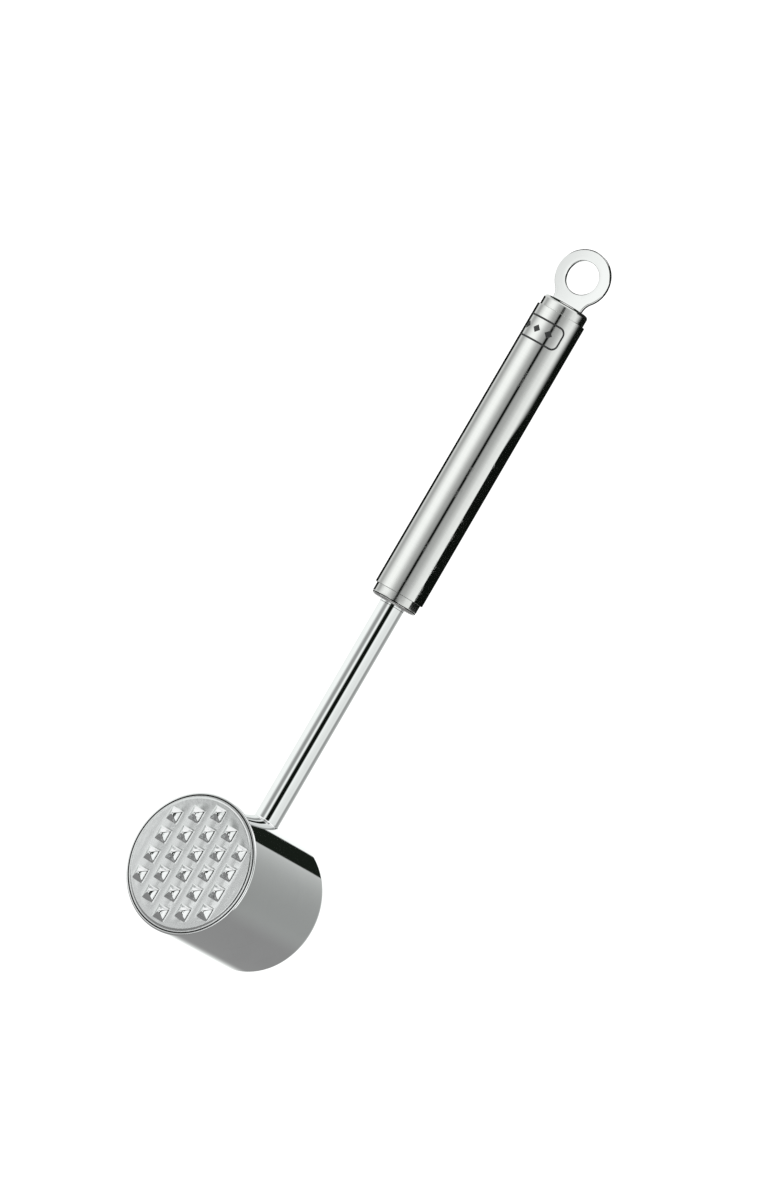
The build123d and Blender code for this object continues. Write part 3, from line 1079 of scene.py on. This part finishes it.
# soft boxes, gaps between them and black flags, by direction about the handle
STUDIO = ((-180, 250), (-157, 232), (-120, 244), (-84, 246), (-74, 205), (-62, 149),
          (-46, 149), (-39, 186), (-31, 243), (-23, 238), (-17, 140), (-13, 40), (-10, 12),
          (11, 12), (14, 40), (18, 190), (23, 246), (36, 230), (71, 222), (85, 228),
          (90, 214), (99, 158), (110, 143), (126, 160), (141, 178), (157, 212), (170, 245),
          (180, 250))
GRIP_SCREEN = ((-180, 140), (-172, 12), (-125, 12), (-120, 200), (-117, 204), (-103, 164),
               (-94, 168), (-80, 212), (-66, 242), (-52, 245), (-43, 234), (-32, 198),
               (-23, 168), (-14, 152), (-9, 132), (-6, 8), (0, 8), (3, 134), (6, 154),
               (20, 168), (33, 196), (42, 219), (60, 230), (120, 230), (180, 165))
# cards in front of the head: name, where they begin and end in degrees, brightness
HEAD_CARDS = (("FlankCard", 12, 70, 1.3), ("LipCard", -54, -14, 1.25),
              ("GroundCardRight", -62, -54, 0.70), ("GroundCardMiddle", -68, -60, 0.82),
              ("GroundCardLeft", -92, -66, 1.05))
CARD_RADIUS, CARD_HEIGHTS, CARD_COLOUR = 0.22, (-0.335, -0.2375), (0.985, 1.0, 0.995, 1.0)


class MALLET_OT_stage(Operator):
    """Plain pale floor, soft studio light with its screens, and the camera"""
    bl_idname = "mallet.stage"
    bl_label = "Stage"

    def around(self, across, ahead, camera_turn):
        """Share of a turn about the handle, 0.5 straight towards the camera."""
        angle = across.math("ARCTAN2", ahead * -1.0)
        return ((angle - camera_turn) / tau + 1.5).math("FRACT")

    def studio(self, scene, stage):
        """The room that the steel mirrors, and an even light for all else."""
        world = bpy.data.worlds.new("Studio")
        scene.world = world
        world.use_nodes = True
        tree = world.node_tree
        tree.nodes.clear()
        x, y, z = split(tree, put(tree, "ShaderNodeTexCoord").outputs["Generated"])
        share = self.around(x, y, stage.camera_turn)
        # table below, black flag high behind, white ceiling
        room = mixed(tree, z.smooth(-0.16, -0.44), tone_ramp(tree, share, STUDIO),
                     (level_of(136),) * 3 + (1.0,))
        beside = share.smooth(0.901, 0.906) * share.smooth(0.985, 0.975)
        high = z.smooth(0.42, 0.445) * z.smooth(0.60, 0.57)
        room = mixed(tree, beside * high, room, tinted(22))
        room = mixed(tree, z.smooth(0.62, 0.72), room, WHITE)
        mirrored = put(tree, "ShaderNodeBackground", {"Color": room, "Strength": 1.25})
        plain = put(tree, "ShaderNodeBackground", {"Color": WHITE, "Strength": 1.2})
        paths = put(tree, "ShaderNodeLightPath")
        choose = put(tree, "ShaderNodeMixShader",
                     {0: paths.outputs["Is Glossy Ray"], 1: plain.outputs[0],
                      2: mirrored.outputs[0]})
        put(tree, "ShaderNodeOutputWorld", {"Surface": choose.outputs[0]})

    def floor(self, stage):
        half_size = 30.0
        shape = bmesh.new()
        level = SHELL_LOW.z - stage.floor
        bmesh.ops.create_grid(shape, x_segments=8, y_segments=8, size=half_size,
                              matrix=Matrix.Translation((0, 0, level)))
        mesh = mesh_of(shape, "Floor")
        material, tree, shader, where = blank_material("Pale floor", metallic=0.0,
                                                       Roughness=0.9)
        grain = noise(tree, where, 3.0, 2.0)
        fill(shader, {"Base Color": toned(tree, (0.93, 0.93, 0.93), grain, 0.995),
                      "Specular IOR Level": 0.0})
        mesh.materials.append(material)
        floor = placed("Floor", mesh)
        floor.visible_glossy = False

    def reflected(self, shape, name, material):
        """Makes a card or screen of a bmesh, which only reflections see."""
        mesh = mesh_of(shape, name)
        mesh.materials.append(material)
        card = placed(name, mesh)
        for kind in ("camera", "diffuse", "transmission", "volume_scatter", "shadow"):
            setattr(card, f"visible_{kind}", False)

    def card(self, shape, name, colour, strength):
        material, shine = glowing_material(name, strength)
        fill(shine, {"Color": colour})
        self.reflected(shape, name, material)

    def grip_screen(self, stage):
        """A tube of soft light round the grip, which only reflections see."""
        shape = bmesh.new()
        radius, cap = stage.screen_radius, UPPER_HIGH.z
        skin(shape, circles(shape, 96, (LOWER_LOW.z + 1.2 * MM, radius),
                            (EYE_HIGH.z + 100 * MM, radius)))
        material, shine = glowing_material("Grip screen", 1.5)
        tree = material.node_tree
        x, y, z = split(tree, put(tree, "ShaderNodeTexCoord").outputs["Object"])
        share = self.around(x, y, stage.camera_turn)
        # above the cap it is pale for the eye's face and dark for its edges
        clear = share.smooth(bearing(150), bearing(160)).math(
            "MAXIMUM", share.smooth(bearing(62), bearing(52)))
        pale = mixed(tree, share.smooth(bearing(-64), bearing(-34)), tinted(206), tinted(230))
        sided = mixed(tree, clear, tinted(8), pale)
        tone = mixed(tree, z.smooth(cap + 1.5 * MM, cap + 3.0 * MM),
                     tone_ramp(tree, share, GRIP_SCREEN), sided)
        # dark crown above the eye
        crown = z.smooth(EYE_HIGH.z + 6 * MM, EYE_HIGH.z + 9 * MM)
        tone = mixed(tree, crown, tone, tinted(30))
        # black flag on the right, with a sharper edge farther round along the lower half
        lower = z.smooth(-0.050, -0.072)
        start = bearing(60.0) + lower * (8.5 / 360)
        width = 36.0 / 360 + lower * (-32.0 / 360)
        side = ((share - start) / width).smooth(0.0, 1.0) \
            * share.smooth(bearing(158), bearing(148))
        fill(shine, {"Color": mixed(tree, side, tone, tinted(10))})
        self.reflected(shape, "GripScreen", material)

    def head_cards(self, stage):
        """Cards in front of the head: white ones for the teeth's flanks and the cup's lip,
        dimmer ones for the ground, brighter to the left."""
        for name, near, far, strength in HEAD_CARDS:
            shape = bmesh.new()
            rows = [[shape.verts.new(about_z(z, CARD_RADIUS,
                                             stage.camera_turn + radians(t - 90)))
                     for t in range(near, far, 2)] for z in CARD_HEIGHTS]
            skin(shape, rows, closed=False)
            self.card(shape, name, CARD_COLOUR, strength)

    def under_ring(self):
        """A dark ring just below the grip, which draws the lower cap's rounded edge."""
        shape = bmesh.new()
        level = LOWER_LOW.z - 0.5 * MM
        skin(shape, circles(shape, 64, (level, 11 * MM), (level, 22 * MM)))
        self.card(shape, "UnderRing", tinted(20), 1.0)

    def lamp(self):
        light = bpy.data.lights.new("Soft box", "AREA")
        light.shape = "DISK"
        light.size, light.energy = 1.6, 6.0
        lamp = placed("Soft box", light)
        lamp.location = (-0.6, -0.5, 1.6)
        aim = Vector((0.0, 0.0, HEAD_Z)) - lamp.location
        lamp.rotation_euler = aim.to_track_quat("-Z", "Y").to_euler()
        lamp.visible_glossy = lamp.visible_camera = False

    def camera(self, scene, stage):
        turn, rise, roll = stage.camera_turn, stage.camera_rise, stage.camera_roll
        back = Vector((sin(turn) * cos(rise), -cos(turn) * cos(rise), sin(rise)))
        level = Vector((cos(turn), sin(turn), 0.0))
        upright = back.cross(level)
        right = level * cos(roll) + upright * sin(roll)
        up = upright * cos(roll) - level * sin(roll)
        aim = Vector((0.0, 0.0, stage.aim_height)) - level * stage.aim_left
        lens = bpy.data.cameras.new("Camera")
        lens.sensor_width = 36.0
        lens.lens = 36.0 * stage.camera_far / stage.view_height
        lens.clip_start, lens.clip_end = 0.1, 200.0
        camera = placed("Camera", lens)
        place = Matrix((right, up, back)).transposed().to_4x4()
        place.translation = aim + back * stage.camera_far
        camera.matrix_world = place
        scene.camera = camera

    def execute(self, context):
        scene = context.scene
        stage = scene.mallet_stage
        self.studio(scene, stage)
        self.floor(stage)
        self.grip_screen(stage)
        self.head_cards(stage)
        self.under_ring()
        self.lamp()
        self.camera(scene, stage)
        scene.view_settings.view_transform = "Standard"
        return {"FINISHED"}


# ------------------------------------------------------------------ panel and registration
OPERATORS = (MALLET_OT_head_shell, MALLET_OT_toothed_face, MALLET_OT_seams, MALLET_OT_stem,
             MALLET_OT_stem_weld, MALLET_OT_sleeve, MALLET_OT_caps, MALLET_OT_mark,
             MALLET_OT_eye, MALLET_OT_inner_parts, MALLET_OT_stage)


class MALLET_PT_pieces(Panel):
    """Lists the mallet's pieces and their sizes"""
    bl_idname = "MALLET_PT_pieces"
    bl_label = "Meat Mallet"
    bl_space_type = "VIEW_3D"
    bl_region_type = "UI"
    bl_category = "Mallet"

    def draw(self, context):
        layout = self.layout
        column = layout.column(align=True)
        for operator in OPERATORS:
            column.operator(operator.bl_idname)
        for name, kind in GROUPS.items():
            box = layout.box()
            box.label(text=kind.__name__)
            for setting in kind.__annotations__:
                box.prop(getattr(context.scene, name), setting)


CLASSES = (*GROUPS.values(), *OPERATORS, MALLET_PT_pieces)


def register():
    for kind in CLASSES:
        bpy.utils.register_class(kind)
    for name, kind in GROUPS.items():
        setattr(bpy.types.Scene, name, PointerProperty(type=kind))


def unregister():
    for name in GROUPS:
        delattr(bpy.types.Scene, name)
    for kind in reversed(CLASSES):
        bpy.utils.unregister_class(kind)


def main():
    register()
    for operator in OPERATORS:
        group, name = operator.bl_idname.split(".")
        getattr(getattr(bpy.ops, group), name)()


if __name__ == "__main__":
    main()
